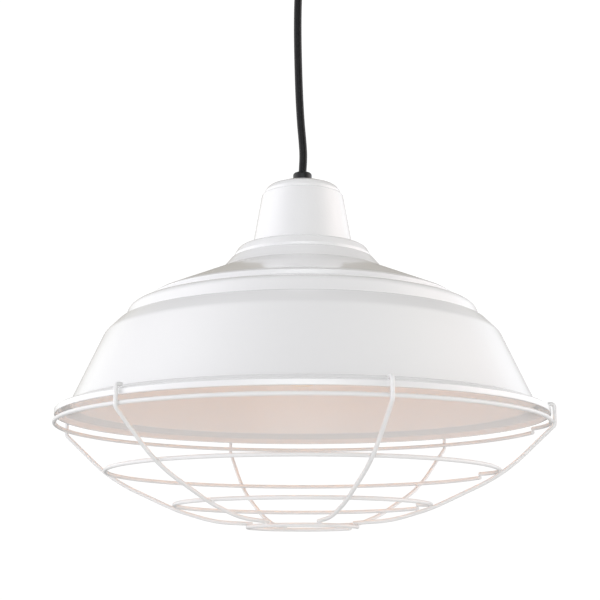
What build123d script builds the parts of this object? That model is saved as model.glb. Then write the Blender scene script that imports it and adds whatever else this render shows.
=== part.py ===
# Pendant ceiling light: a spun warehouse shade with a sprung wire guard, hung on its cord from a ceiling canopy.
# Millimetres, +Z up. The origin is the centre of the ceiling mount: the ceiling plane is z = 0, and the light hangs
# below it. Heights on the shade, bulb and guard are counted from the lower edge of the shade's rim, with up().
from build123d import *
import os
from math import cos, pi, radians, sin, tan

os.makedirs("parts", exist_ok=True)

# ---- driving dimensions ----
DROP = 490.0             # ceiling plane to the lower edge of the shade's rim
RIM_R = 216.0            # outside radius of the rim
SHEET = 1.0              # wall of the spun shade, its cap and the canopy
FIT = 0.05               # radial clearance of a part in its own hole
CORD_R = 3.6             # round jacketed cord
WIRE_R = 1.75            # guard wire
# Hand-set guard ribs, in degrees from -Y towards +X.
RIB_TURNS = [17.7, 79.0, 139.9, 199.6, 258.5, 319.0]

CANOPY_R = 63.5          # canopy, outside
CANOPY_DEEP = 24.0
BOX_SPACING = 88.9       # screw spacing of a 4 inch ceiling box
STUD_SPACING = 60.0
GLAND_R = 11.0           # canopy gland, outside
BUSH_R = 8.0             # ball bush
PIVOT_Z = -40.0          # centre of the ball bush that the cord swings about

NUT_BASE = 217.8         # the gland nut's seat on the neck cap
NUT_H = 7.4
NUT_R = 8.5
NECK_TOP = 204.0         # the neck's turned-in top flange
STEM_R = 6.5             # threaded hollow stem
STEM_BORE = 4.2
STEM_TOP = 219.5
STEM_FOOT = 155.0

SOCKET_R = 20.0          # porcelain lampholder
SOCKET_MOUTH = 112.0
SOCKET_TOP = 152.0
BULB_TIP = 29.0          # lowest point of the bulb
BULB_LEN = 110.0
BULB_R = 30.0
BASE_R = 13.1            # crest of the bulb's screw thread


def up(height):
    """Height in the row frame of a point that is height above the rim's lower edge."""
    return height - DROP


def save(name, shape):
    export_step(shape, f"parts/{name}.step")


def outline(points, radii=0, close=True):
    """Polyline of (radius, z) points in the XZ plane, its corners rounded."""
    return FilletPolyline(*[(r, 0, z) for r, z in points], radius=radii, close=close)


def turned(points, radii=0):
    """Solid of revolution about Z from a closed (radius, z) outline."""
    return revolve(make_face(outline(points, radii)), Axis.Z)


def spun(points, radii, wall=SHEET):
    """Spun sheet: an open (radius, z) outline of the outer skin, thickened inwards, turned about Z."""
    skin = outline(points, radii, close=False)
    return revolve(make_face(skin.offset_2d(wall, side=Side.RIGHT)), Axis.Z)


def disc(radius, low, high, x=0.0, y=0.0):
    """Upright cylinder between two z values."""
    return Pos(x, y, (low + high) / 2) * Cylinder(radius, high - low)


def tube(outer, inner, low, high):
    return disc(outer, low, high) - disc(inner, low, high)


def block(size_x, size_y, low, high, x=0.0, y=0.0):
    return Pos(x, y, (low + high) / 2) * Box(size_x, size_y, high - low)


def hex_nut(across, bore, low, high):
    """Hexagon nut with chamfered corners."""
    prism = Pos(0, 0, low) * extrude(RegularPolygon(across / 2, 6, major_radius=False), high - low)
    corner = across / 2 / cos(pi / 6)
    dome = turned([(0, low), (corner - 0.8, low), (corner, low + 0.5), (corner, high - 0.5), (corner - 0.8, high),
                   (0, high)])
    nut = prism & dome
    return nut - disc(bore, low, high) if bore else nut


def bent_wire(points, radii, wire_r):
    """Round wire along straight runs joined by tangent arcs."""
    path = FilletPolyline(*points, radius=radii)
    section = Plane(origin=path @ 0, z_dir=path % 0) * Circle(wire_r)
    return sweep(section, path=path)


def pair(shape, spacing):
    """Two copies of a shape, either side of the centre along X."""
    return Compound([Pos(side * spacing / 2, 0, 0) * shape for side in (-1, 1)])


# ---- ceiling end ----
def make_canopy():
    """Dished cover: its rim lies on the ceiling, its bottom is flat."""
    low = -CANOPY_DEEP
    dish = spun([(CANOPY_R, 0), (CANOPY_R, low + 13), (CANOPY_R - 9, low), (6 + FIT, low)], [9, 12])
    holes = [disc(2.3, low - 1, low + 3, side * STUD_SPACING / 2) for side in (-1, 1)]
    return dish - holes


def make_crossbar():
    """Steel bar across the ceiling box, with a slot for each box screw and threaded holes for the studs."""
    bar_t = 2.0
    bar = block(110, 16, -bar_t, 0)
    bar = fillet(bar.edges().filter_by(Axis.Z), 4)
    slots = [Pos(side * BOX_SPACING / 2, 0, -bar_t / 2) * extrude(SlotOverall(12, 4.8), bar_t, both=True)
             for side in (-1, 1)]
    threads = [disc(2.0, -bar_t, 0, side * STUD_SPACING / 2) for side in (-1, 1)]
    ground = disc(1.75, -bar_t, 0, 0, -4.5)
    lead_way = disc(3.0, -bar_t, 0, 10, 0)
    return bar - slots - threads - ground - lead_way


def make_studs():
    """Threaded studs screwed into the crossbar, passing down through the canopy."""
    stud_low = -CANOPY_DEEP - 6
    return pair(disc(2.0 - FIT, stud_low, -0.2), STUD_SPACING)


def make_cap_nuts():
    """Knurled cap nuts that draw the canopy up to the ceiling."""
    top = -CANOPY_DEEP
    body = turned([(0, top), (6, top), (6, top - 6.5), (4.5, top - 8.2), (0, top - 8.5)])
    grooves = [Rot(0, 0, 15 * k) * disc(0.45, top - 6, top - 1, 6.15) for k in range(24)]
    return pair(body - grooves - disc(2.0, top - 6.2, top), STUD_SPACING)


def make_canopy_gland():
    """Upper half of the cord gland: seat of the ball bush, and a threaded neck up through the canopy."""
    top = -CANOPY_DEEP
    neck_top = top + 11
    body = turned([(0, PIVOT_Z), (GLAND_R, PIVOT_Z), (GLAND_R, top), (6, top), (6, neck_top), (0, neck_top)])
    seat = Pos(0, 0, PIVOT_Z) * Sphere(BUSH_R + FIT)
    return body - seat - disc(4.0, PIVOT_Z, neck_top)


def make_gland_locknut():
    low = -CANOPY_DEEP + SHEET
    return hex_nut(16, 6 + FIT, low, low + 3)


def make_canopy_gland_nut():
    """Lower half of the cord gland: it holds the ball bush up and flares for the cord's swing."""
    low = PIVOT_Z - 7
    body = turned([(0, PIVOT_Z), (GLAND_R, PIVOT_Z), (GLAND_R, low), (0, low)])
    body = fillet(body.edges().filter_by(GeomType.CIRCLE).sort_by(Axis.Z)[0], 2.5)
    seat = Pos(0, 0, PIVOT_Z) * Sphere(BUSH_R + FIT)
    flare = turned([(0, PIVOT_Z), (6.4, PIVOT_Z), (6.4, PIVOT_Z - 4.9), (7.4, low), (0, low)])
    return body - seat - flare


def make_cord_bush():
    """Rubber ball that grips the cord and turns in the gland. Its lower mouth flares so that the cord can swing."""
    half = 5.0
    ball = Pos(0, 0, PIVOT_Z) * (Sphere(BUSH_R) & Box(3 * BUSH_R, 3 * BUSH_R, 2 * half))
    socket = Pos(0, 0, PIVOT_Z) * Sphere(CORD_R + FIT)
    mouth = turned([(0, PIVOT_Z), (CORD_R + FIT, PIVOT_Z), (5.3, PIVOT_Z - half), (0, PIVOT_Z - half)])
    lead_hole = disc(3.3, PIVOT_Z, PIVOT_Z + half)
    return ball - socket - mouth - lead_hole


def make_supply_lead(x, y, reach):
    """One lead from the cord's upper end, up through the gland and over to its wire connector."""
    points = [(x, y, PIVOT_Z + 6.4), (x, y, -10), (x + 0.4 * reach, y + 9, -7), (reach, 27, -11)]
    return bent_wire(points, [4, 4], 0.9)


def make_wire_connector(x):
    """Twist-on connector: a ribbed cone, open at the lead's end."""
    cone = Pos(x, 27.3, -11) * Rot(-90, 0, 0) * Cone(5.2, 3.2, 18, align=(Align.CENTER, Align.CENTER, Align.MIN))
    hole = Pos(x, 27.3, -11) * Rot(-90, 0, 0) * Cone(3.8, 1.0, 12, align=(Align.CENTER, Align.CENTER, Align.MIN))
    return cone - hole


def make_ground_screw():
    """Green hexagon-washer screw in the crossbar."""
    head = hex_nut(6.4, 0, -4.6, -2.0)
    return Pos(0, -4.5, 0) * (head + disc(1.75 - FIT, -2, -0.1))


def make_ground_lead():
    """Bare ground lead from the gland to the ground screw's side."""
    points = [(0, -2.3, PIVOT_Z + 6.4), (0, -2.3, -9.5), (0, -9.7, -7.5), (0, -9.7, -3)]
    return bent_wire(points, [2.5, 2], 0.7)


# ---- cord ----
# The cord's route, from the gland nut on the shade up to the ball bush: (x, height above the rim).
CORD_ROUTE = [(0.0, NUT_BASE + NUT_H), (1.0, 238.0), (0.4, 252.0), (-1.7, 275.0), (-3.4, 310.0), (-4.6, 365.0),
              (-3.7, 405.0), (-1.0, 429.0), (0.0, 440.0), (0.0, DROP + PIVOT_Z)]


def cord_radii(points):
    """Largest tangent arc at each corner of the route: 0.45 of its shorter run over the tangent of half its turn."""
    radii = []
    for before, here, after in zip(points, points[1:], points[2:]):
        run_in, run_out = Vector(*here) - Vector(*before), Vector(*after) - Vector(*here)
        half_turn = radians(run_in.get_angle(run_out)) / 2
        radii.append(0.45 * min(run_in.length, run_out.length) / tan(half_turn))
    return radii


def make_cord():
    """Cord as a plain tube. Its upper end is round, about the point that it swings on."""
    points = [(x, 0, up(height)) for x, height in CORD_ROUTE]
    radii = cord_radii(points)
    print("cord radii", [round(r, 1) for r in radii])
    path = FilletPolyline(*points, radius=radii)
    print("cord length", round(path.length, 1))
    section = Plane(origin=points[0], z_dir=(0, 0, 1)) * Circle(CORD_R)
    upright = sweep(section, path=path, is_frenet=True)
    trimmed = upright & block(60, 60, up(NUT_BASE + NUT_H), PIVOT_Z + 1)
    return trimmed + (Pos(0, 0, PIVOT_Z) * Sphere(CORD_R))


# ---- shade ----
def make_gland_nut():
    """Black gland nut on the crown, which squeezes the seal on to the cord."""
    base, top = up(NUT_BASE), up(NUT_BASE + NUT_H)
    body = turned([(0, base), (NUT_R, base), (NUT_R, top), (0, top)])
    body = fillet(body.edges().filter_by(GeomType.CIRCLE).sort_by(Axis.Z)[-1], 2.4)
    return body - disc(CORD_R + FIT, base, top) - disc(STEM_R + FIT, base, up(NUT_BASE + 4.4))


def make_gland_seal():
    return tube(STEM_R - 0.3, CORD_R + FIT, up(STEM_TOP + 0.1), up(NUT_BASE + 4.3))


def make_cord_entry():
    """Jacketed end of the cord inside the gland and the stem."""
    return disc(CORD_R, up(196), up(NUT_BASE + NUT_H))


def make_stem():
    """Threaded hollow stem that carries the shade, the strap and the lampholder."""
    return tube(STEM_R, STEM_BORE, up(STEM_FOOT), up(STEM_TOP))


def make_neck_cap():
    """Domed cap over the neck's open top."""
    return spun([(STEM_R + 0.3, up(NUT_BASE)), (16, up(216.6)), (30.8, up(211.4)), (34.4, up(206.8)),
                 (34.4, up(NECK_TOP))], [20, 7, 3])


def make_shade():
    """Spun shade: neck, first shoulder and bead, upper cone, ridge, second shoulder, skirt, flange and hemmed lip."""
    skin = [(20, NECK_TOP), (36.6, NECK_TOP), (45.0, 155.6), (57.3, 153.7), (61.7, 146.5), (61.3, 144.0),
            (64.3, 143.2), (73.3, 132.5), (133.5, 107.2), (136.6, 105.2), (135.6, 100.9), (154.1, 96.6),
            (157.7, 82.8), (162.3, 83.6), (175.0, 71.0), (203.0, 10.0), (215.0, 5.6), (215.0, 1.0)]
    rounding = [2, 1.5, 5, 1.2, 0.6, 1.2, 3, 1.5, 1.2, 1.5, 9, 2, 3.5, 14, 1.5, 2.5]
    body = spun([(r, up(height)) for r, height in skin], rounding)
    hem = turned([(RIM_R - 2, up(0)), (RIM_R, up(0)), (RIM_R, up(5)), (RIM_R - 2, up(5))], 0.85)
    return body + hem


def make_neck_strap():
    """Steel strap under the neck's flange, clamped by the locknut."""
    strap = block(60, 14, up(NECK_TOP - SHEET - 1.6), up(NECK_TOP - SHEET))
    return fillet(strap.edges().filter_by(Axis.Z), 5) - disc(STEM_R + FIT, up(190), up(NECK_TOP))


def make_stem_locknut():
    top = NECK_TOP - SHEET - 1.6
    return hex_nut(19, STEM_R + FIT, up(top - 3.4), up(top))


# ---- lampholder ----
def make_socket_cap():
    """Metal cup over the porcelain, with a threaded collar for the stem."""
    cup = spun([(8.5, up(158.8)), (18.95, up(158.8)), (18.95, up(143.6))], [4], 0.8)
    collar = tube(9.4, STEM_R + FIT, up(157), up(165))
    screw_hole = Pos(8, 0, up(162)) * Rot(0, 90, 0) * Cylinder(1.55, 6)
    return cup + collar - screw_hole


def make_set_screw():
    return Pos(9.0, 0, up(162)) * Rot(0, 90, 0) * Cylinder(1.5, 4.6)


def make_socket_body():
    """Porcelain body: mouth for the screw shell, floor with the contact's rivet hole, wiring space on top."""
    rim, top = up(SOCKET_MOUTH), up(SOCKET_TOP)
    body = turned([(0, rim), (SOCKET_R, rim), (SOCKET_R, up(143)), (18, up(143)), (18, top), (0, top)])
    body = fillet(body.edges().filter_by(GeomType.CIRCLE).sort_by(Axis.Z)[0], 2.5)
    body = body - disc(14.5, rim, up(140)) - disc(15, up(147), top) - disc(1.6, up(140), up(147))
    return body - [disc(1.6, up(142), up(147), x) for x in (-9, 9)]


def make_screw_shell():
    """Threaded copper-alloy shell that takes the bulb, with a flange against the porcelain floor."""
    return tube(13.8, 13.3, up(114), up(140)) + tube(13.8, 9.0, up(139.3), up(140))


def make_socket_contact():
    """Centre contact: spring tongue, rivet through the floor and link to its terminal."""
    tongue = disc(3.4, up(139.2), up(140)) + disc(1.5, up(139.5), up(147.3))
    link = block(14, 5, up(147), up(147.6), 4.5) - disc(1.6, up(146), up(148), 9)
    return tongue + link


def make_terminal_screws():
    """Brass terminal screws: one on the porcelain, one on the contact's link."""
    screws = []
    for x, seat in ((-9, 147.0), (9, 147.6)):
        head = disc(3, up(seat), up(seat + 1.6), x) - block(0.8, 7, up(seat + 0.9), up(seat + 2), x)
        screws.append(head + disc(1.5, up(142.5), up(seat), x))
    return Compound(screws)


def make_socket_lead(side):
    """Insulated lead from the cord's inner end down the stem to its terminal screw."""
    points = [(side * 1.3, 0, up(195.9)), (side * 1.3, 0, up(153.4)), (side * 9, 0, up(152.4)),
              (side * 9, 0, up(149.4))]
    return bent_wire(points, [2.0, 1.6], 0.9)


# ---- bulb ----
def glass_outline(thin):
    """Half section of the pear-shaped envelope, shrunk by thin: a ball that runs into the neck in one curve."""
    centre, reach = up(BULB_TIP + BULB_R), BULB_R - thin
    lift = radians(22)
    ball_end = (reach * cos(lift), 0, centre + reach * sin(lift))
    tip = (0, 0, centre - reach)
    side = (reach * cos(pi / 6), 0, centre - reach * sin(pi / 6))
    neck_r, neck_top = 12.6 - thin, up(112)
    ball = ThreePointArc(tip, side, ball_end)
    flank = Spline(ball_end, (neck_r, 0, up(108)), tangents=[(-sin(lift), 0, cos(lift)), (0, 0, 1)])
    rest = Polyline((neck_r, 0, up(108)), (neck_r, 0, neck_top), (0, 0, neck_top), tip)
    return make_face(ball + flank + rest)


def make_bulb_glass():
    """Hollow glass envelope, open at its neck."""
    wall = 0.6
    hollow = revolve(glass_outline(wall), Axis.Z) + disc(12.6 - wall, up(110), up(113))
    return revolve(glass_outline(0), Axis.Z) - hollow


def make_bulb_shell():
    """Thin screw shell of the bulb's base. Its crest radius is the thread's."""
    return spun([(8.6, up(135.4)), (BASE_R, up(132.4)), (BASE_R, up(109))], [1.5], 0.4)


def make_bulb_insulator():
    return turned([(0, up(134.9)), (8.2, up(134.9)), (5.8, up(138.0)), (0, up(138.0))])


def make_bulb_contact():
    """Solder tip at the centre of the base."""
    tip = turned([(0, up(138.0)), (4.6, up(138.0)), (3.2, up(BULB_TIP + BULB_LEN)), (0, up(BULB_TIP + BULB_LEN))])
    return tip


def make_bulb_stem():
    """Glass mount that seals the neck and carries the filament's supports."""
    return turned([(0, up(86)), (2.8, up(86)), (3.2, up(100)), (11.8, up(110.5)), (11.8, up(112)), (0, up(112))])


def make_filament_supports():
    wires = [bent_wire([(side * 1.6, 0, up(85.9)), (side * 1.6, 0, up(80)), (side * 12, 0, up(68))], [2], 0.4)
             for side in (-1, 1)]
    return Compound(wires)


def make_filament():
    """Coiled filament, as a fine arched tube between its supports."""
    points = [(-12, 0, up(67.2)), (-5, 0, up(64.6)), (5, 0, up(64.6)), (12, 0, up(67.2))]
    return bent_wire(points, [8, 8], 0.35)


# ---- guard ----
# Each hoop: radius and height of its wire's centre, and where its cut ends meet, in degrees from -Y towards +X.
HOOPS = {"guard_hoop_1": (215.6, -6.2, 103.0), "guard_hoop_2": (171.1, -46.7, 109.0),
         "guard_hoop_3": (111.4, -75.2, 112.0), "guard_hoop_4": (47.6, -93.9, 118.0)}
END_STEP = 3.3           # one cut end of a hoop stands this much above the other
WELD = 0.15              # how far the welded wires sink into each other
HOOK_SPLIT = 4.0         # height where the springy hook begins
HOOK_TOP = 8.25          # height of the hook's wire over the flange


def hoop_point(radius, turn, lift=0.0):
    """Point on a hoop's centreline, turn degrees from -Y towards +X, lifted by lift."""
    return (radius * sin(radians(turn)), -radius * cos(radians(turn)), lift)


def hoop_heading(turn, rise=0.0):
    """Direction along the hoop at a turn, with its rise per unit of run."""
    return (cos(radians(turn)), sin(radians(turn)), rise)


def make_hoop(radius, height, joint):
    """Hoop, flat from its joint round to the last rib before it. From there it climbs, to end above its start."""
    last_rib = RIB_TURNS[1]
    climb = joint - last_rib
    steepest = 1.2 * END_STEP / (radius * radians(climb))
    flat = CenterArc((0, 0, 0), radius, joint - 90, 360 - climb)
    middle = hoop_point(radius, last_rib + climb / 2, 0.4 * END_STEP)
    rising = Spline(hoop_point(radius, last_rib), middle, hoop_point(radius, joint, END_STEP),
                    tangents=[hoop_heading(last_rib), hoop_heading(joint, steepest)])
    section = Plane(origin=flat @ 0, z_dir=flat % 0) * Circle(WIRE_R)
    return Pos(0, 0, up(height)) * sweep(section, path=Wire([flat, rising]))


def on_front(points):
    """(radius, height) points as points in the plane X = 0, on the side of -Y."""
    return [(0, -radius, up(height)) for radius, height in points]


RIB_R = HOOPS["guard_hoop_1"][0] + 2 * WIRE_R - WELD


def make_rib(turn):
    """Rib from the hook's split down past the first hoop, in under the others, to its end on top of the last."""
    points = on_front([(RIB_R, HOOK_SPLIT), (RIB_R, -9.4), (174.5, -50.6), (112.7, -78.7), (78.0, -88.8),
                       (44.5, -90.65)])
    return Rot(0, 0, turn) * bent_wire(points, [4, 150, 150, 120], WIRE_R)


def make_hook(turn):
    """Hook at the rib's upper end, bent in over the shade's flange."""
    points = on_front([(RIB_R, HOOK_SPLIT), (RIB_R, HOOK_TOP), (213.4, HOOK_TOP)])
    return Rot(0, 0, turn) * bent_wire(points, [3.2], WIRE_R)


# ---- write every piece ----
PIECES = {
    "canopy": make_canopy(),
    "crossbar": make_crossbar(),
    "canopy_studs": make_studs(),
    "canopy_cap_nuts": make_cap_nuts(),
    "canopy_gland": make_canopy_gland(),
    "canopy_gland_nut": make_canopy_gland_nut(),
    "canopy_gland_locknut": make_gland_locknut(),
    "cord_bush": make_cord_bush(),
    "live_lead": make_supply_lead(-2.2, 0.9, -13),
    "neutral_lead": make_supply_lead(2.2, 0.9, 13),
    "ground_lead": make_ground_lead(),
    "live_connector": make_wire_connector(-13),
    "neutral_connector": make_wire_connector(13),
    "ground_screw": make_ground_screw(),
    "cord": make_cord(),
    "gland_nut": make_gland_nut(),
    "gland_seal": make_gland_seal(),
    "cord_entry": make_cord_entry(),
    "stem": make_stem(),
    "neck_cap": make_neck_cap(),
    "shade": make_shade(),
    "neck_strap": make_neck_strap(),
    "stem_locknut": make_stem_locknut(),
    "socket_cap": make_socket_cap(),
    "socket_set_screw": make_set_screw(),
    "socket_body": make_socket_body(),
    "socket_screw_shell": make_screw_shell(),
    "socket_contact": make_socket_contact(),
    "terminal_screws": make_terminal_screws(),
    "socket_lead_live": make_socket_lead(-1),
    "socket_lead_neutral": make_socket_lead(1),
    "bulb_glass": make_bulb_glass(),
    "bulb_screw_shell": make_bulb_shell(),
    "bulb_insulator": make_bulb_insulator(),
    "bulb_contact": make_bulb_contact(),
    "bulb_stem": make_bulb_stem(),
    "filament_supports": make_filament_supports(),
    "filament": make_filament(),
}
for hoop_name, (hoop_r, hoop_height, hoop_joint) in HOOPS.items():
    PIECES[hoop_name] = make_hoop(hoop_r, hoop_height, hoop_joint)
for number, turn in enumerate(RIB_TURNS, start=1):
    PIECES[f"guard_rib_{number}"] = make_rib(turn)
PIECES["guard_hooks"] = Compound([make_hook(turn) for turn in RIB_TURNS])

for piece_name, piece in PIECES.items():
    save(piece_name, piece)
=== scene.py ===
# %% [markdown]
# # A pendant light with a warehouse shade and a wire guard
# The real light is a spun steel shade, sprayed white, that hangs on a black cord. A guard of
# welded wire hooks over the shade's rim, and an ordinary screw-in bulb sits inside. The solid
# parts come from the CAD frame, which sets their sizes and places. Blender adds what the frame
# lacks: smooth spun skins, a round cord on a gentle bow, rolled screw threads, weld beads,
# paint, glow and light.

# %% Load the frame
import bmesh
import bpy
import math
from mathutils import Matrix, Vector


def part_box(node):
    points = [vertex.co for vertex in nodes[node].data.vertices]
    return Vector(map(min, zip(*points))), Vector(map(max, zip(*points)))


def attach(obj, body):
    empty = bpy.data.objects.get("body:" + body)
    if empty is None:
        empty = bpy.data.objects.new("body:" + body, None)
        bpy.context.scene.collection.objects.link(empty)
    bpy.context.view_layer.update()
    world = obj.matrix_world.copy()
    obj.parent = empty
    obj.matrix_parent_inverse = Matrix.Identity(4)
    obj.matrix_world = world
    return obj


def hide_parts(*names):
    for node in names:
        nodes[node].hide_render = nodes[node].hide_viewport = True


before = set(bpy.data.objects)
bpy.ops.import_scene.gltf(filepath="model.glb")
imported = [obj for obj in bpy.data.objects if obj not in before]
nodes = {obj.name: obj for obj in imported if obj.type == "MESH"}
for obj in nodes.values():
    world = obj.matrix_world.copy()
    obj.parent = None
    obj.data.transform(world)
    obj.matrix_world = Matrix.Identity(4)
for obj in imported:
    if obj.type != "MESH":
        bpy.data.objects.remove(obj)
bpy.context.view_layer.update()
rim_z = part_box("shade")[0].z

# %% [markdown]
# ## Camera
# A light like this is looked up at, so the camera stands below the rim, well back, and tips up.
# A long lens keeps the ellipses of the rim and the hoops calm. The distances are measured from
# the centre of the rim's lower edge.

# %% Place the camera
camera_back = 1.2683
camera_below = 0.1505
camera_lens = 86.75
tip_up = math.radians(11.49)
turn_left = math.radians(0.1)
camera = bpy.data.objects.new("camera", bpy.data.cameras.new("camera"))
bpy.context.scene.collection.objects.link(camera)
camera.data.lens = camera_lens
camera.location = (0, -camera_back, rim_z - camera_below)
camera.rotation_euler = (math.radians(90) + tip_up, 0, turn_left)
bpy.context.scene.camera = camera
print("camera stands", camera_back, "m in front of the light's axis")

# %% [markdown]
# ## Cord
# The shade hangs on a round jacketed cord, 7.2 mm thick. The weight pulls it almost straight,
# but a cord remembers its coil, so it bows a little to one side and straightens where the gland
# grips it. A smooth spline through a few listed points gives that slow bow. A bevelled
# curve keeps the cord round and one object. Blender pads a curve's box by the radius stored on
# its points, so the cord's half thickness is put there, and the bevel itself is 1.

# %% A helper that files a new piece
def file_piece(name, data, body, stands_for=()):
    """Links new mesh or curve data as a piece that rides on a body."""
    piece = bpy.data.objects.new(name, data)
    bpy.context.scene.collection.objects.link(piece)
    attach(piece, body)
    if stands_for:
        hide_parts(*stands_for)
    return piece

# %% Lay the cord along its route
cord_thick = 0.0072
cord_route = [
    (0.0, -0.04), (0.0, -0.05), (-0.001, -0.061), (-0.0037, -0.085), (-0.0046, -0.125),
    (-0.0034, -0.18), (-0.0017, -0.215), (0.0004, -0.238), (0.001, -0.252), (0.0, -0.2648),
]
cord_curve = bpy.data.curves.new("hanging_cord", "CURVE")
cord_curve.dimensions = "3D"
line = cord_curve.splines.new("NURBS")
line.points.add(len(cord_route) - 1)
for point, (x, z) in zip(line.points, cord_route):
    point.co = (x, 0, z, 1)
    point.radius = cord_thick / 2
line.order_u = 3
line.use_endpoint_u = True
line.resolution_u = 12
cord_curve.bevel_depth = 1.0
cord_curve.bevel_resolution = 8
cord_curve.use_fill_caps = True
cord = file_piece("hanging_cord", cord_curve, "cord", ["cord"])

# %% [markdown]
# ## Finishes
# Every finish is one Principled shader with a little life in it. Noise in object space breaks up
# the colour and the gloss, and a finer noise bends the surface. Sprayed paint gets the soft
# ripple called orange peel, metals get fine streaks, and plastics a faint moulded grain. Numbers
# that never change are set on the shader itself.

# %% A helper that mixes a finish
broad_scale = 9.0
broad_detail = 3.0
fine_detail = 2.0
ripple_height = 0.001
least_roughness = 0.02


def mix_finish(name, colour, roughness, metallic=0.0, drift=0.03, grain=900.0, bump=0.02,
               stretch=(1, 1, 1), rough_drift=0.06):
    """Principled material: colour drifts darker, roughness wanders, grain bends the normal."""
    finish = bpy.data.materials.new(name)
    finish.use_nodes = True
    tree = finish.node_tree
    shader = tree.nodes["Principled BSDF"]
    shader.inputs["Metallic"].default_value = metallic
    place = tree.nodes.new("ShaderNodeTexCoord")
    scaled = tree.nodes.new("ShaderNodeMapping")
    scaled.inputs["Scale"].default_value = stretch
    tree.links.new(place.outputs["Object"], scaled.inputs["Vector"])

    broad = tree.nodes.new("ShaderNodeTexNoise")
    broad.inputs["Scale"].default_value = broad_scale
    broad.inputs["Detail"].default_value = broad_detail
    tree.links.new(scaled.outputs["Vector"], broad.inputs["Vector"])
    tint = tree.nodes.new("ShaderNodeMix")
    tint.data_type = "RGBA"
    tint.inputs["A"].default_value = (*colour, 1)
    tint.inputs["B"].default_value = (*[c * (1 - drift) for c in colour], 1)
    tree.links.new(broad.outputs["Fac"], tint.inputs["Factor"])
    tree.links.new(tint.outputs["Result"], shader.inputs["Base Color"])

    gloss = tree.nodes.new("ShaderNodeMapRange")
    gloss.inputs["To Min"].default_value = max(least_roughness, roughness - rough_drift)
    gloss.inputs["To Max"].default_value = min(1.0, roughness + rough_drift)
    tree.links.new(broad.outputs["Fac"], gloss.inputs["Value"])
    tree.links.new(gloss.outputs["Result"], shader.inputs["Roughness"])

    fine = tree.nodes.new("ShaderNodeTexNoise")
    fine.inputs["Scale"].default_value = grain
    fine.inputs["Detail"].default_value = fine_detail
    tree.links.new(scaled.outputs["Vector"], fine.inputs["Vector"])
    ripple = tree.nodes.new("ShaderNodeBump")
    ripple.inputs["Strength"].default_value = bump
    ripple.inputs["Distance"].default_value = ripple_height
    tree.links.new(fine.outputs["Fac"], ripple.inputs["Height"])
    tree.links.new(ripple.outputs["Normal"], shader.inputs["Normal"])
    return finish


def shader_of(finish):
    return finish.node_tree.nodes["Principled BSDF"]

# %% Mix the finishes
gloss_white = mix_finish("gloss_white", (0.86, 0.86, 0.865), 0.2, drift=0.02, grain=420, bump=0.05)
shader_of(gloss_white).inputs["Coat Weight"].default_value = 0.5
shader_of(gloss_white).inputs["Coat Roughness"].default_value = 0.08
wire_white = mix_finish("wire_white", (0.84, 0.84, 0.84), 0.32, drift=0.04, grain=700, bump=0.12)
zinc_plate = mix_finish("zinc_plate", (0.56, 0.57, 0.58), 0.32, metallic=1.0, drift=0.18,
                        stretch=(1, 1, 6))
nylon_black = mix_finish("nylon_black", (0.012, 0.012, 0.013), 0.36, drift=0.3, grain=1600,
                         bump=0.12)
rubber_black = mix_finish("rubber_black", (0.018, 0.018, 0.018), 0.6, drift=0.3, grain=1400,
                          bump=0.15)
jacket_black = mix_finish("jacket_black", (0.005, 0.005, 0.006), 0.4, drift=0.4, grain=620,
                          bump=0.35,
                          stretch=(1, 1, 0.45), rough_drift=0.12)
shader_of(jacket_black).inputs["Specular IOR Level"].default_value = 0.22
shader_of(nylon_black).inputs["Specular IOR Level"].default_value = 0.3
sleeve_black = mix_finish("sleeve_black", (0.02, 0.02, 0.02), 0.3, drift=0.2)
sleeve_white = mix_finish("sleeve_white", (0.8, 0.79, 0.76), 0.3)
bare_copper = mix_finish("bare_copper", (0.72, 0.36, 0.22), 0.28, metallic=1.0, drift=0.2)
orange_plastic = mix_finish("orange_plastic", (0.75, 0.26, 0.04), 0.42, drift=0.08, grain=1200,
                            bump=0.1)
green_zinc = mix_finish("green_zinc", (0.04, 0.3, 0.1), 0.3, metallic=0.8, drift=0.15)
brass_metal = mix_finish("brass_metal", (0.76, 0.55, 0.22), 0.26, metallic=1.0, drift=0.15)
glazed_white = mix_finish("glazed_white", (0.86, 0.84, 0.79), 0.12, drift=0.03, grain=160,
                          bump=0.03)
nickel_sheet = mix_finish("nickel_sheet", (0.72, 0.7, 0.66), 0.24, metallic=1.0, drift=0.15)
black_insulator = mix_finish("black_insulator", (0.02, 0.02, 0.025), 0.14, drift=0.2)
solder_tip = mix_finish("solder_tip", (0.55, 0.55, 0.54), 0.4, metallic=1.0, drift=0.2, grain=500,
                        bump=0.3)
clear_stem = mix_finish("clear_stem", (0.95, 0.97, 0.98), 0.05, drift=0.02)
shader_of(clear_stem).inputs["Transmission Weight"].default_value = 1.0
tungsten_wire = mix_finish("tungsten_wire", (0.35, 0.33, 0.3), 0.5, metallic=1.0)
shader_of(tungsten_wire).inputs["Emission Color"].default_value = (1.0, 0.62, 0.3, 1)
shader_of(tungsten_wire).inputs["Emission Strength"].default_value = 6.0
print("finishes mixed:", len(bpy.data.materials))

# %% [markdown]
# ## Frosted, glowing glass
# A frosted bulb that is switched on looks like a soft lamp: bright round the filament and
# duller, more amber, at its very tip, where the glass is furthest from the filament. A ramp
# along the bulb's height sets that glow, and the glow itself lights the inside of the shade, as
# a lit bulb would.

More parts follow.
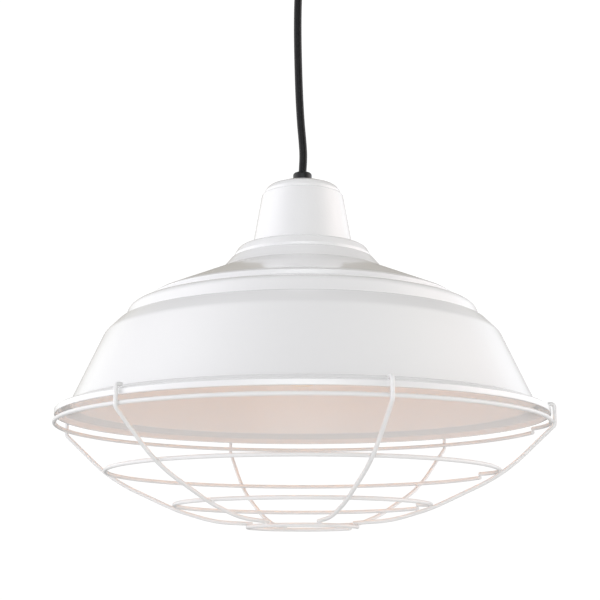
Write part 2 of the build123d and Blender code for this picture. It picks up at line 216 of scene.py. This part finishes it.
# %% Mix the glowing glass
tip_glow = (0.03, 0.014, 0.006, 1)
collar_glow = (0.8, 0.26, 0.05, 1)
glow_stops = (
    (0.035, (0.06, 0.03, 0.016, 1)),
    (0.12, (1.4, 0.6, 0.16, 1)),
    (0.3, (1.6, 0.62, 0.14, 1)),
)
glow_strength = 4.0
bulb_low, bulb_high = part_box("bulb_glass")
glow_glass = mix_finish("glow_glass", (0.93, 0.86, 0.78), 0.35, drift=0.04, grain=1500, bump=0.1)
glow_tree = glow_glass.node_tree
glow_place = glow_tree.nodes.new("ShaderNodeTexCoord")
glow_height = glow_tree.nodes.new("ShaderNodeSeparateXYZ")
glow_tree.links.new(glow_place.outputs["Object"], glow_height.inputs["Vector"])
glow_span = glow_tree.nodes.new("ShaderNodeMapRange")
glow_span.inputs["From Min"].default_value = bulb_low.z
glow_span.inputs["From Max"].default_value = bulb_high.z
glow_tree.links.new(glow_height.outputs["Z"], glow_span.inputs["Value"])
glow_ramp = glow_tree.nodes.new("ShaderNodeValToRGB")
glow_ramp.color_ramp.elements[0].color = tip_glow
glow_ramp.color_ramp.elements[1].color = collar_glow
for where, colour in glow_stops:
    glow_ramp.color_ramp.elements.new(where).color = colour
glow_tree.links.new(glow_span.outputs["Result"], glow_ramp.inputs["Fac"])
glow_tree.links.new(glow_ramp.outputs["Color"], shader_of(glow_glass).inputs["Emission Color"])
shader_of(glow_glass).inputs["Emission Strength"].default_value = glow_strength
print("the bulb glows from", round(bulb_low.z, 3), "to", round(bulb_high.z, 3))

# %% [markdown]
# ## Dress the frame's pieces
# Most pieces in the frame have their true shape already, so they only need a finish. A table of
# finishes against pieces is easier to read than one call for each.

# %% Give each piece its finish
def dress(piece, finish):
    """Puts a finish in a piece's slot. A new piece has no slot yet, so it gets one."""
    if not piece.material_slots:
        piece.data.materials.append(finish)
    for holder in piece.material_slots:
        holder.material = finish


finish_groups = [
    (gloss_white, "canopy neck_cap shade canopy_cap_nuts"),
    (zinc_plate, "crossbar canopy_studs canopy_gland_locknut stem neck_strap stem_locknut"),
    (zinc_plate, "socket_cap"),
    (nylon_black, "canopy_gland canopy_gland_nut gland_nut"),
    (rubber_black, "cord_bush gland_seal"),
    (jacket_black, "cord cord_entry"),
    (sleeve_black, "live_lead socket_lead_live"),
    (sleeve_white, "neutral_lead socket_lead_neutral"),
    (bare_copper, "ground_lead"),
    (orange_plastic, "live_connector neutral_connector"),
    (green_zinc, "ground_screw"),
    (brass_metal, "socket_set_screw socket_screw_shell socket_contact terminal_screws"),
    (glazed_white, "socket_body"),
    (glow_glass, "bulb_glass"),
    (nickel_sheet, "bulb_screw_shell filament_supports"),
    (black_insulator, "bulb_insulator"),
    (solder_tip, "bulb_contact"),
    (clear_stem, "bulb_stem"),
    (tungsten_wire, "filament"),
]
finish_of = {name: finish for finish, names in finish_groups for name in names.split()}
for name, node in nodes.items():
    dress(node, finish_of.get(name, wire_white))
dress(cord, jacket_black)
print("dressed", len(nodes), "pieces; the guard's wires are", wire_white.name)

# %% [markdown]
# ## Spun skins
# Spinning a disc of metal over a chuck gives a perfectly round skin. The frame's skin is made of
# flat facets, and a glossy paint shows every one. So the half section is read off the frame
# piece, along its seam, and turned again in many fine steps. Quads in neat rings shade far
# better, and the section keeps the frame's size.

# %% Read a half section and spin it
near = 1e-6
spin_steps = 288


def half_section(node):
    """Ordered (radius, z) points of a turned piece, from its seam in the plane of +X."""
    mesh = bmesh.new()
    mesh.from_mesh(nodes[node].data)
    bmesh.ops.remove_doubles(mesh, verts=mesh.verts, dist=near)
    on_seam = {v for v in mesh.verts if abs(v.co.y) < near and v.co.x > -near}
    beside = {v: [e.other_vert(v) for e in v.link_edges if e.other_vert(v) in on_seam]
              for v in on_seam}
    ends = [v for v in on_seam if len(beside[v]) == 1]
    here = min(ends or on_seam, key=lambda v: (v.co.z, v.co.x))
    walked = [here]
    while True:
        onward = [v for v in beside[here] if v not in walked]
        if not onward:
            break
        here = onward[0]
        walked.append(here)
    points = [(max(v.co.x, 0.0), v.co.z) for v in walked]
    closed = not ends
    mesh.free()
    return points, closed


def spin_skin(name, points, closed, steps=spin_steps):
    """Turns a half section about Z into rings of quads. A point on the axis is one vertex."""
    mesh = bmesh.new()
    rings = []
    for radius, z in points:
        if radius < near:
            rings.append([mesh.verts.new((0, 0, z))] * steps)
            continue
        ring = []
        for step in range(steps):
            angle = 2 * math.pi * step / steps
            ring.append(mesh.verts.new((radius * math.cos(angle), radius * math.sin(angle), z)))
        rings.append(ring)
    pairs = list(zip(rings, rings[1:])) + ([(rings[-1], rings[0])] if closed else [])
    for low_ring, high_ring in pairs:
        for step in range(steps):
            after = (step + 1) % steps
            corners = [low_ring[step], low_ring[after], high_ring[after], high_ring[step]]
            unique = list(dict.fromkeys(corners))
            if len(unique) > 2:
                mesh.faces.new(unique)
    bmesh.ops.recalc_face_normals(mesh, faces=mesh.faces)
    data = bpy.data.meshes.new(name)
    mesh.to_mesh(data)
    mesh.free()
    return data


def smooth_below(data, degrees=32):
    """Shades a mesh smooth, and keeps edges sharper than this angle crisp."""
    data.shade_smooth()
    data.set_sharp_from_angle(angle=math.radians(degrees))


def respin(node, body, slot, finish, name):
    points, closed = half_section(node)
    data = spin_skin(name, points, closed)
    smooth_below(data)
    dress(file_piece(name, data, body, [node]), finish)
    print(name, "section of", len(points), "points, closed" if closed else "points, open")

# %% Spin the shade, its cap, the gland nut and the bulb
spun_pieces = [
    ("shade", "shade", "white_paint", gloss_white, "spun_shade"),
    ("neck_cap", "shade", "white_paint", gloss_white, "spun_neck_cap"),
    ("gland_nut", "shade", "black_plastic", nylon_black, "gland_nut_turned"),
    ("bulb_glass", "bulb", "frosted_glass", glow_glass, "bulb_envelope"),
]
for spun_piece in spun_pieces:
    respin(*spun_piece)

# %% [markdown]
# ## Rolled threads
# The bulb's base and the lampholder's shell are thin metal, rolled into a round thread of seven
# turns to the inch. A thread is a wave that climbs as it goes round, so each vertex of a tube is
# pushed out by a cosine of its height and its turn. The crest stays at the frame's radius, which
# leaves the running clearance untouched. The same wave, finer, threads the hollow stem.

# %% Roll a thread into a tube
thread_steps = 72
levels_per_pitch = 10
fewest_levels = 4
thread_sharp = 50


def rolled_tube(name, outer, inner, low, high, pitch, depth, plain=0.0, taper=0.0,
                end_radius=None):
    """Tube with a helical wave outside. Its bottom can be plain, and its top can taper in."""
    steps = thread_steps
    levels = max(fewest_levels, int((high - low) / pitch * levels_per_pitch))
    shrink_to = outer if end_radius is None else end_radius
    mesh = bmesh.new()

    def wall(radius, waved):
        rings = []
        for level in range(levels + 1):
            z = low + (high - low) * level / levels
            narrowing = max(0.0, z - (high - taper)) / taper if taper else 0.0
            run_in = (z - low - plain) / pitch
            run_out = (high - taper - z) / pitch
            threaded = max(0.0, min(1.0, run_in, run_out)) if waved else 0.0
            ring = []
            for step in range(steps):
                angle = 2 * math.pi * step / steps
                wave = 0.5 - 0.5 * math.cos(2 * math.pi * z / pitch - angle)
                reach = radius - depth * threaded * wave + (shrink_to - outer) * narrowing
                ring.append(mesh.verts.new((reach * math.cos(angle), reach * math.sin(angle), z)))
            rings.append(ring)
        return rings

    outside_wall = wall(outer, True)
    inside_wall = wall(inner, False)
    pairs = list(zip(outside_wall, outside_wall[1:])) + list(zip(inside_wall, inside_wall[1:]))
    pairs += [(outside_wall[0], inside_wall[0]), (outside_wall[-1], inside_wall[-1])]
    for lower, upper in pairs:
        for step in range(steps):
            after = (step + 1) % steps
            mesh.faces.new((lower[step], lower[after], upper[after], upper[step]))
    bmesh.ops.recalc_face_normals(mesh, faces=mesh.faces)
    data = bpy.data.meshes.new(name)
    mesh.to_mesh(data)
    mesh.free()
    smooth_below(data, thread_sharp)
    return data

# %% Thread the stem and the bulb's base
bulb_pitch = 0.003629
bulb_wall = 0.0012
bulb_depth = 0.0007
bulb_plain = 0.004
bulb_taper = 0.003
bulb_top_r = 0.0086
base_low, base_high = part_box("bulb_screw_shell")
base_r = (base_high.x - base_low.x) / 2
bulb_thread_data = rolled_tube("bulb_base_thread", base_r, base_r - bulb_wall, base_low.z,
                               base_high.z, bulb_pitch, bulb_depth, plain=bulb_plain,
                               taper=bulb_taper, end_radius=bulb_top_r)
bulb_thread = file_piece("bulb_base_thread", bulb_thread_data, "bulb",
                         ["bulb_screw_shell"])
dress(bulb_thread, nickel_sheet)
stem_pitch = 0.00141
stem_depth = 0.00035
stem_bore_r = 0.0042
stem_low, stem_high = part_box("stem")
stem_r = (stem_high.x - stem_low.x) / 2
stem_data = rolled_tube("threaded_stem", stem_r, stem_bore_r, stem_low.z, stem_high.z,
                        stem_pitch, stem_depth)
threaded_stem = file_piece("threaded_stem", stem_data, "shade", ["stem"])
dress(threaded_stem, zinc_plate)
print("bulb thread crest radius", round(base_r * 1000, 2), "mm")

# %% [markdown]
# ## Weld beads on the guard
# The guard is resistance welded: at each crossing the wires sink into each other and squeeze out
# a small bead, which the paint then rounds off. Without it the crossings look like loose sticks.
# A flattened ball at each crossing is enough. The crossings are found from the frame: where a
# rib's plane meets each hoop.

# %% Squeeze a bead into every crossing
guard_wire_r = 0.00175
bead_size = 0.0017
bead_stretch = 1.25
rib_count = 6
# For each hoop, how far outward and how far up a rib lies from the hoop's wire.
bead_leans = {1: (1.0, 0.0), 2: (0.56, -0.83), 3: (0.32, -0.95), 4: (0.0, 1.0)}


def weld_beads(name, crossings, size):
    mesh = bmesh.new()
    for centre, along in crossings:
        made = bmesh.ops.create_icosphere(mesh, subdivisions=2, radius=1.0)
        turn = Vector((1, 0, 0)).rotation_difference(along).to_matrix()
        for vert in made["verts"]:
            x, y, z = vert.co
            vert.co = centre + turn @ Vector((x * size * bead_stretch, y * size, z * size))
    data = bpy.data.meshes.new(name)
    mesh.to_mesh(data)
    mesh.free()
    data.shade_smooth()
    return data


def hoop_centre_line(node):
    low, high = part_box(node)
    return (high.x - low.x) / 2 - guard_wire_r, low.z + guard_wire_r


rib_turns = []
for number in range(1, rib_count + 1):
    rib = nodes[f"guard_rib_{number}"].data
    outermost = max(rib.vertices, key=lambda v: v.co.xy.length).co
    rib_turns.append(math.atan2(outermost.x, -outermost.y))
crossings = []
for number, (out, up) in bead_leans.items():
    hoop_r, hoop_z = hoop_centre_line(f"guard_hoop_{number}")
    for turn in rib_turns:
        outward = Vector((math.sin(turn), -math.cos(turn), 0))
        touch = outward * (hoop_r + bead_size * out) + Vector((0, 0, hoop_z + bead_size * up))
        crossings.append((touch, Vector((math.cos(turn), math.sin(turn), 0))))
beads_data = weld_beads("guard_weld_beads", crossings, bead_size)
beads = file_piece("guard_weld_beads", beads_data, "guard")
dress(beads, wire_white)
print("weld beads:", len(crossings))

# %% [markdown]
# ## Stage and light
# White on white only reads if every side of the thing gets its own strength of light. A studio
# does it with large soft panels, so the room here is a ring of soft glows round the light. The
# strongest is in front. The right and the left come next, with weaker ones behind them and
# higher up, which catch the flanks and the cone. Almost nothing comes from straight behind or
# straight above, so the glossy cone mirrors a dim room and the neck.

# %% Build a room of soft glows
world = bpy.data.worlds.new("soft_room")
bpy.context.scene.world = world
world.use_nodes = True
room = world.node_tree
room.nodes.clear()
around = room.nodes.new("ShaderNodeTexCoord")


def glow(turn, height, tightness, colour):
    """Light from one direction that fades to the sides. Degrees, and a turn of 0 is the front."""
    turn, height = math.radians(turn), math.radians(height)
    facing = room.nodes.new("ShaderNodeVectorMath")
    facing.operation = "DOT_PRODUCT"
    level = math.cos(height)
    source = (math.sin(turn) * level, -math.cos(turn) * level, math.sin(height))
    facing.inputs[1].default_value = source
    room.links.new(around.outputs["Generated"], facing.inputs[0])
    ahead = room.nodes.new("ShaderNodeMath")
    ahead.operation = "MAXIMUM"
    ahead.inputs[1].default_value = 0.0
    room.links.new(facing.outputs["Value"], ahead.inputs[0])
    fading = room.nodes.new("ShaderNodeMath")
    fading.operation = "POWER"
    fading.inputs[1].default_value = tightness
    room.links.new(ahead.outputs["Value"], fading.inputs[0])
    panel = room.nodes.new("ShaderNodeBackground")
    panel.inputs["Color"].default_value = (*colour, 1)
    room.links.new(fading.outputs["Value"], panel.inputs["Strength"])
    return panel.outputs["Background"]


glows = [
    glow(0, 0, 10, (3.1, 3.18, 3.16)),
    glow(-50, 10, 8, (0.85, 0.8, 0.9)),
    glow(-90, 10, 8, (1.96, 1.95, 1.97)),
    glow(-135, 10, 8, (1.41, 1.43, 1.41)),
    glow(90, 10, 8, (2.7, 2.45, 2.42)),
    glow(135, 10, 8, (1.5, 1.56, 1.63)),
    glow(180, 30, 8, (0.2, 0.16, 0.1)),
    glow(-80, 50, 8, (1.04, 1.03, 1.05)),
    glow(80, 50, 8, (0.58, 0.62, 0.57)),
]
together = glows[0]
for one in glows[1:]:
    both = room.nodes.new("ShaderNodeAddShader")
    room.links.new(together, both.inputs[0])
    room.links.new(one, both.inputs[1])
    together = both.outputs["Shader"]
print("glows in the room:", len(glows))

# %% [markdown]
# The paper behind the light is pure white. The camera sees it, but it lights nothing, so it can
# be as bright as it likes without washing out the shading. The Standard view keeps that white at
# full strength.

# %% Hang white paper behind
paper_strength = 1.05
paper = room.nodes.new("ShaderNodeBackground")
paper.inputs["Color"].default_value = (1, 1, 1, 1)
paper.inputs["Strength"].default_value = paper_strength
choose = room.nodes.new("ShaderNodeMixShader")
ray = room.nodes.new("ShaderNodeLightPath")
room_out = room.nodes.new("ShaderNodeOutputWorld")
room.links.new(ray.outputs["Is Camera Ray"], choose.inputs["Fac"])
room.links.new(together, choose.inputs[1])
room.links.new(paper.outputs["Background"], choose.inputs[2])
room.links.new(choose.outputs["Shader"], room_out.inputs["Surface"])
bpy.context.scene.view_settings.view_transform = "Standard"
print("paper strength", paper_strength)

# %% Add a weak fill from below
fill_size = 0.9
fill_energy = 1.2
fill_forward = 0.9
fill_below = 0.95
fill = bpy.data.lights.new("low_fill", "AREA")
fill.size = fill_size
fill.energy = fill_energy
fill_holder = bpy.data.objects.new("low_fill", fill)
bpy.context.scene.collection.objects.link(fill_holder)
fill_holder.location = (0, -fill_forward, rim_z - fill_below)
aim = Vector((0, 0, rim_z)) - fill_holder.location
fill_holder.rotation_euler = aim.to_track_quat("-Z", "Y").to_euler()
print("fill stands", round(aim.length, 2), "m from the rim")

# %% Lay a pale floor
floor_drop = 2.6
floor_size = 18
bpy.ops.mesh.primitive_plane_add(size=floor_size, location=(0, 0, rim_z - floor_drop))
floor = bpy.context.object
floor.name = "floor"
floor_paint = mix_finish("floor_paint", (0.83, 0.83, 0.82), 0.7, drift=0.03, grain=60, bump=0.01)
dress(floor, floor_paint)
print("floor lies", floor_drop, "m below the rim")

# %% [markdown]
# ## Update the scene
# The dressed light must be the size of the frame. The last step updates the scene.

# %% Update the scene
bpy.context.view_layer.update()
